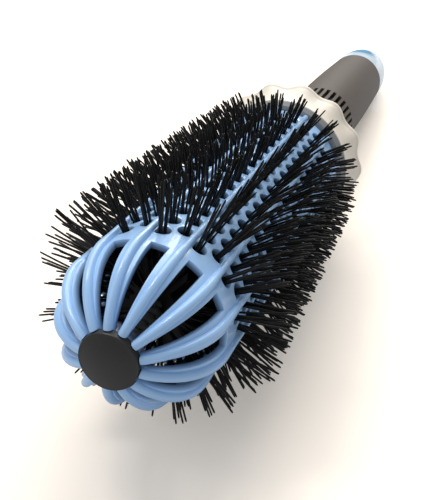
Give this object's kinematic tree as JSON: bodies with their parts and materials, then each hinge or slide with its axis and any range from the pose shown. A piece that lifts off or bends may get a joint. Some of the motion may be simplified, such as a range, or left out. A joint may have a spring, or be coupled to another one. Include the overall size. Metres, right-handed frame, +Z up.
{
  "type": "thermal round brush",
  "caption": "Vented round hair brush with a ribbed, domed barrel, rows of bristle tufts coming out of staggered holes, a flared collar and a soft slotted handle.",
  "frame": {"origin": "on the table under the middle of the brush as it lies at rest", "axes": "+X from the domed nose to the end cap, +Z up from the table"},
  "size_m": [0.2304, 0.0557, 0.0619],
  "materials": {
    "blue_plastic": "glossy light blue moulded plastic",
    "black_rubber": "matt black soft cap",
    "core_wire": "dull twisted wire",
    "black_plastic": "matt black plastic",
    "grey_plastic": "satin grey plastic",
    "cream_plastic": "satin cream plastic",
    "grip_rubber": "warm grey soft-touch grip",
    "pale_blue_plastic": "glossy pale blue plastic",
    "black_nylon": "black nylon bristle"
  },
  "bodies": {
    "root": {"barrel_shell": "blue_plastic", "nose_cap": "black_rubber", "core_rod": "core_wire", "rear_plug": "black_plastic", "neck_ring": "grey_plastic", "collar": "cream_plastic", "handle_tube": "black_plastic", "grip_sleeve": "grip_rubber", "end_cap": "pale_blue_plastic", "bristle_row_01": "black_nylon", "bristle_row_02": "black_nylon", "bristle_row_03": "black_nylon", "bristle_row_04": "black_nylon", "bristle_row_05": "black_nylon", "bristle_row_06": "black_nylon", "bristle_row_07": "black_nylon", "bristle_row_08": "black_nylon", "bristle_row_09": "black_nylon", "bristle_row_10": "black_nylon", "bristle_row_11": "black_nylon", "bristle_row_12": "black_nylon", "bristle_row_13": "black_nylon", "bristle_row_14": "black_nylon", "bristle_row_15": "black_nylon", "bristle_row_16": "black_nylon", "bristle_row_17": "black_nylon", "bristle_row_18": "black_nylon", "bristle_row_19": "black_nylon", "bristle_row_20": "black_nylon", "bristle_row_21": "black_nylon", "bristle_row_22": "black_nylon", "bristle_row_23": "black_nylon", "bristle_row_24": "black_nylon", "bristle_row_25": "black_nylon", "bristle_row_26": "black_nylon"}
  },
  "joints": []
}
